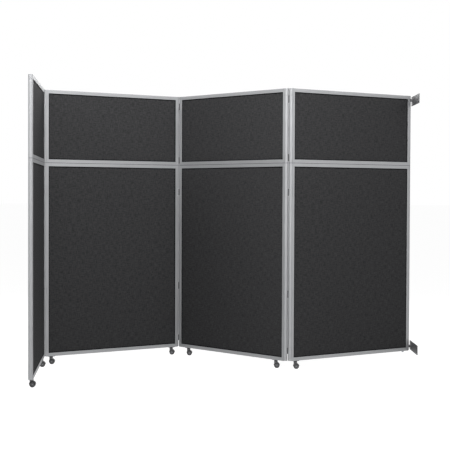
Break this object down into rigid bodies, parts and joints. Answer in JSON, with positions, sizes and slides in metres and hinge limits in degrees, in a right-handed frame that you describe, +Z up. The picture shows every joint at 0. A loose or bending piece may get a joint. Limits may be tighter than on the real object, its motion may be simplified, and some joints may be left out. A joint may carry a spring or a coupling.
{
  "type": "accordion folding partition",
  "caption": "Accordion folding partition: framed fabric panels on double-pivot hinges and swivel casters, fixed to a wall by two screw plates.",
  "frame": {"origin": "on the floor under the middle of the bounding box, in the pose of the picture", "axes": "+Z up; +X along the partition towards the wall that its plates are screwed to; the front, seen in the picture, faces -Y"},
  "size_m": [3.5536, 2.3136, 2.572],
  "materials": {
    "frame_aluminium": "satin anodised",
    "board": "matt",
    "charcoal_fabric": "woven, matt",
    "bead": "matt",
    "seal": "soft extrusion, light grey, matt",
    "zinc_steel": "zinc plated",
    "hinge_block": "die-cast, satin, arm blackened",
    "caster_plate": "powder coated, satin",
    "yoke_plastic": "moulded, satin",
    "wheel_tread": "matt",
    "wall_plate": "powder coated, satin"
  },
  "bodies": {
    "hinge_2": {"hinge_2_blocks": "hinge_block", "hinge_2_pins": "zinc_steel", "hinge_2_seals": "seal"},
    "panel_3": {"panel_3_stiles": "frame_aluminium", "panel_3_hinge_edges": "frame_aluminium", "panel_3_rails": "frame_aluminium", "panel_3_core_boards": "board", "panel_3_fabric": "charcoal_fabric", "panel_3_beads": "bead", "panel_3_frame_hardware": "zinc_steel", "panel_3_caster_plates": "caster_plate"},
    "hinge_3": {"hinge_3_blocks": "hinge_block", "hinge_3_pins": "zinc_steel", "hinge_3_seals": "seal"},
    "panel_4": {"panel_4_stiles": "frame_aluminium", "panel_4_hinge_edges": "frame_aluminium", "panel_4_rails": "frame_aluminium", "panel_4_core_boards": "board", "panel_4_fabric": "charcoal_fabric", "panel_4_beads": "bead", "panel_4_frame_hardware": "zinc_steel", "panel_4_caster_plates": "caster_plate"},
    "wall_bracket": {"wall_plate_top": "wall_plate", "wall_plate_bottom": "wall_plate", "wall_pins": "zinc_steel"},
    "panel_2": {"panel_2_stiles": "frame_aluminium", "panel_2_hinge_edges": "frame_aluminium", "panel_2_rails": "frame_aluminium", "panel_2_core_boards": "board", "panel_2_fabric": "charcoal_fabric", "panel_2_beads": "bead", "panel_2_frame_hardware": "zinc_steel", "panel_2_caster_plates": "caster_plate"},
    "hinge_1": {"hinge_1_blocks": "hinge_block", "hinge_1_pins": "zinc_steel", "hinge_1_seals": "seal"},
    "panel_1": {"panel_1_stiles": "frame_aluminium", "panel_1_hinge_edges": "frame_aluminium", "panel_1_rails": "frame_aluminium", "panel_1_core_boards": "board", "panel_1_fabric": "charcoal_fabric", "panel_1_beads": "bead", "panel_1_frame_hardware": "zinc_steel", "panel_1_caster_plates": "caster_plate"},
    "caster_1_swivel": {"caster_1_yoke": "yoke_plastic"},
    "caster_1_roll": {"caster_1_wheels": "wheel_tread"},
    "caster_2_swivel": {"caster_2_yoke": "yoke_plastic"},
    "caster_2_roll": {"caster_2_wheels": "wheel_tread"},
    "caster_3_swivel": {"caster_3_yoke": "yoke_plastic"},
    "caster_3_roll": {"caster_3_wheels": "wheel_tread"},
    "caster_4_swivel": {"caster_4_yoke": "yoke_plastic"},
    "caster_4_roll": {"caster_4_wheels": "wheel_tread"},
    "caster_5_swivel": {"caster_5_yoke": "yoke_plastic"},
    "caster_5_roll": {"caster_5_wheels": "wheel_tread"},
    "caster_6_swivel": {"caster_6_yoke": "yoke_plastic"},
    "caster_6_roll": {"caster_6_wheels": "wheel_tread"},
    "caster_7_swivel": {"caster_7_yoke": "yoke_plastic"},
    "caster_7_roll": {"caster_7_wheels": "wheel_tread"}
  },
  "joints": [
    {"name": "corner_2_near", "type": "hinge", "parent": "hinge_2", "child": "panel_3", "pos_m": [-0.49438, 1.13303, 1.324], "axis": [0, 0, -1], "range_deg": [-119.95, 47.55]},
    {"name": "corner_3_far", "type": "hinge", "parent": "panel_3", "child": "hinge_3", "pos_m": [0.50257, 0.08979, 1.324], "axis": [0, 0, 1], "range_deg": [-117.75, 49.75]},
    {"name": "corner_3_near", "type": "hinge", "parent": "hinge_3", "child": "panel_4", "pos_m": [0.54532, 0.08526, 1.324], "axis": [0, 0, 1], "range_deg": [-117.75, 49.75]},
    {"name": "wall_hinge", "type": "hinge", "parent": "panel_4", "child": "wall_bracket", "pos_m": [1.7388, 0.89634, 1.324], "axis": [0, 0, -1], "range_deg": [-124.2, 55.8]},
    {"name": "corner_2_far", "type": "hinge", "parent": "hinge_2", "child": "panel_2", "pos_m": [-0.53712, 1.13779, 1.324], "axis": [0, 0, 1], "range_deg": [-119.95, 47.55]},
    {"name": "corner_1_near", "type": "hinge", "parent": "panel_2", "child": "hinge_1", "pos_m": [-1.73902, 0.33924, 1.324], "axis": [0, 0, -1], "range_deg": [-57, 120.5]},
    {"name": "corner_1_far", "type": "hinge", "parent": "hinge_1", "child": "panel_1", "pos_m": [-1.7578, 0.30056, 1.324], "axis": [0, 0, -1], "range_deg": [-57, 120.5]},
    {"name": "caster_1_swivel", "type": "hinge", "parent": "panel_1", "child": "caster_1_swivel", "pos_m": [-1.65158, -1.01967, 0.076], "axis": [0, 0, 1], "continuous": true},
    {"name": "caster_1_roll", "type": "hinge", "parent": "caster_1_swivel", "child": "caster_1_roll", "pos_m": [-1.64358, -1.01967, 0.025], "axis": [0, 1, 0], "continuous": true},
    {"name": "caster_2_swivel", "type": "hinge", "parent": "panel_1", "child": "caster_2_swivel", "pos_m": [-1.7483, 0.18244, 0.076], "axis": [0, 0, 1], "continuous": true},
    {"name": "caster_2_roll", "type": "hinge", "parent": "caster_2_swivel", "child": "caster_2_roll", "pos_m": [-1.7403, 0.18244, 0.025], "axis": [0, 1, 0], "continuous": true},
    {"name": "caster_3_swivel", "type": "hinge", "parent": "panel_2", "child": "caster_3_swivel", "pos_m": [-1.68696, 0.37383, 0.076], "axis": [0, 0, 1], "continuous": true},
    {"name": "caster_3_roll", "type": "hinge", "parent": "caster_3_swivel", "child": "caster_3_roll", "pos_m": [-1.67896, 0.37383, 0.025], "axis": [0, 1, 0], "continuous": true},
    {"name": "caster_4_swivel", "type": "hinge", "parent": "panel_2", "child": "caster_4_swivel", "pos_m": [-0.58917, 1.1032, 0.076], "axis": [0, 0, 1], "continuous": true},
    {"name": "caster_4_roll", "type": "hinge", "parent": "caster_4_swivel", "child": "caster_4_roll", "pos_m": [-0.58117, 1.1032, 0.025], "axis": [0, 1, 0], "continuous": true},
    {"name": "caster_5_swivel", "type": "hinge", "parent": "panel_3", "child": "caster_5_swivel", "pos_m": [-0.41251, 1.04736, 0.076], "axis": [0, 0, 1], "continuous": true},
    {"name": "caster_5_roll", "type": "hinge", "parent": "caster_5_swivel", "child": "caster_5_roll", "pos_m": [-0.40451, 1.04736, 0.025], "axis": [0, 1, 0], "continuous": true},
    {"name": "caster_6_swivel", "type": "hinge", "parent": "panel_3", "child": "caster_6_swivel", "pos_m": [0.42069, 0.17546, 0.076], "axis": [0, 0, 1], "continuous": true},
    {"name": "caster_6_roll", "type": "hinge", "parent": "caster_6_swivel", "child": "caster_6_roll", "pos_m": [0.42869, 0.17546, 0.025], "axis": [0, 1, 0], "continuous": true},
    {"name": "caster_7_swivel", "type": "hinge", "parent": "panel_4", "child": "caster_7_swivel", "pos_m": [0.59702, 0.12039, 0.076], "axis": [0, 0, 1], "continuous": true},
    {"name": "caster_7_roll", "type": "hinge", "parent": "caster_7_swivel", "child": "caster_7_roll", "pos_m": [0.60502, 0.12039, 0.025], "axis": [0, 1, 0], "continuous": true}
  ]
}
